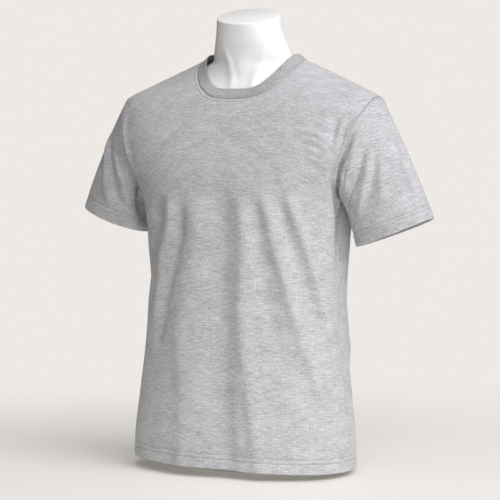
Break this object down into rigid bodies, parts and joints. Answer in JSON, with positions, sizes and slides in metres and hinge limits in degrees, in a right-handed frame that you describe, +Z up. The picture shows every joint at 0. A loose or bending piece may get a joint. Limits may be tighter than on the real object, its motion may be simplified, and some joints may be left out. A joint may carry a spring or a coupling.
{
  "type": "crew neck t-shirt on a limbless dress form",
  "caption": "Short-sleeved crew neck t-shirt in grey heather jersey with a ribbed neckband, worn by a smooth white dress form with no limbs that stands on a flat foot.",
  "frame": {"origin": "middle of the dress form's flat foot, on the surface it stands on", "axes": "+Z up, +X to the wearer's left, the front of the shirt faces -Y"},
  "size_m": [0.7015, 0.2706, 0.8268],
  "materials": {
    "jersey": "heather grey cotton single jersey, matt, fine knit with streaky flecks",
    "rib": "heather grey one by one rib, folded double, matt",
    "form": "smooth white satin gloss"
  },
  "bodies": {
    "root": {"front_panel": "jersey", "back_panel": "jersey", "sleeve_left": "jersey", "sleeve_right": "jersey", "neckband": "rib", "dress_form": "form"}
  },
  "joints": []
}
